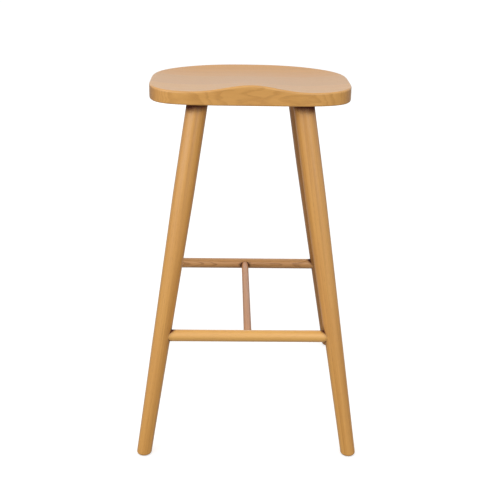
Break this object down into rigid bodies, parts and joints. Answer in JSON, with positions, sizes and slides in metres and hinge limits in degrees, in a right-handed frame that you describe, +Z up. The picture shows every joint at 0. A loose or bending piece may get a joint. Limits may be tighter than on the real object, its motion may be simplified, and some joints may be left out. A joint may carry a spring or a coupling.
{
  "type": "bar stool with footrest",
  "caption": "Backless oak bar stool: a carved saddle seat with a front pommel, round tapered splayed legs, a front footrest bar, a rear stretcher and a thin centre stretcher.",
  "frame": {"origin": "on the floor, at the middle of the four feet", "axes": "+Z up, +X to the right of someone facing the stool's front, -Y towards the footrest side, where the sitter's feet go"},
  "size_m": [0.4712, 0.528, 0.7491],
  "materials": {
    "bright_steel": "bright drawn wire",
    "oak_centre_stretcher": "natural oak under a thin satin lacquer",
    "nylon_glide": "plain moulded nylon",
    "oak_footrest": "natural oak under a thin satin lacquer",
    "oak_leg": "natural oak under a thin satin lacquer",
    "hidden_hardwood": "bare hardwood, glued in",
    "oak_rear_stretcher": "natural oak under a thin satin lacquer",
    "seat_board_front": "natural oak under a thin satin lacquer",
    "seat_board_middle": "natural oak under a thin satin lacquer",
    "seat_board_rear": "natural oak under a thin satin lacquer"
  },
  "bodies": {
    "root": {"centre_joint_brads": "bright_steel", "centre_stretcher": "oak_centre_stretcher", "foot_glide_front_left": "nylon_glide", "foot_glide_front_right": "nylon_glide", "foot_glide_rear_left": "nylon_glide", "foot_glide_rear_right": "nylon_glide", "footrest_bar": "oak_footrest", "glide_nails": "bright_steel", "leg_front_left": "oak_leg", "leg_front_right": "oak_leg", "leg_joint_brads": "bright_steel", "leg_rear_left": "oak_leg", "leg_rear_right": "oak_leg", "leg_wedge_front_left": "hidden_hardwood", "leg_wedge_front_right": "hidden_hardwood", "leg_wedge_rear_left": "hidden_hardwood", "leg_wedge_rear_right": "hidden_hardwood", "rear_stretcher": "oak_rear_stretcher", "seat_board_front": "seat_board_front", "seat_board_middle": "seat_board_middle", "seat_board_rear": "seat_board_rear", "seat_tongue_front": "hidden_hardwood", "seat_tongue_rear": "hidden_hardwood"}
  },
  "joints": []
}
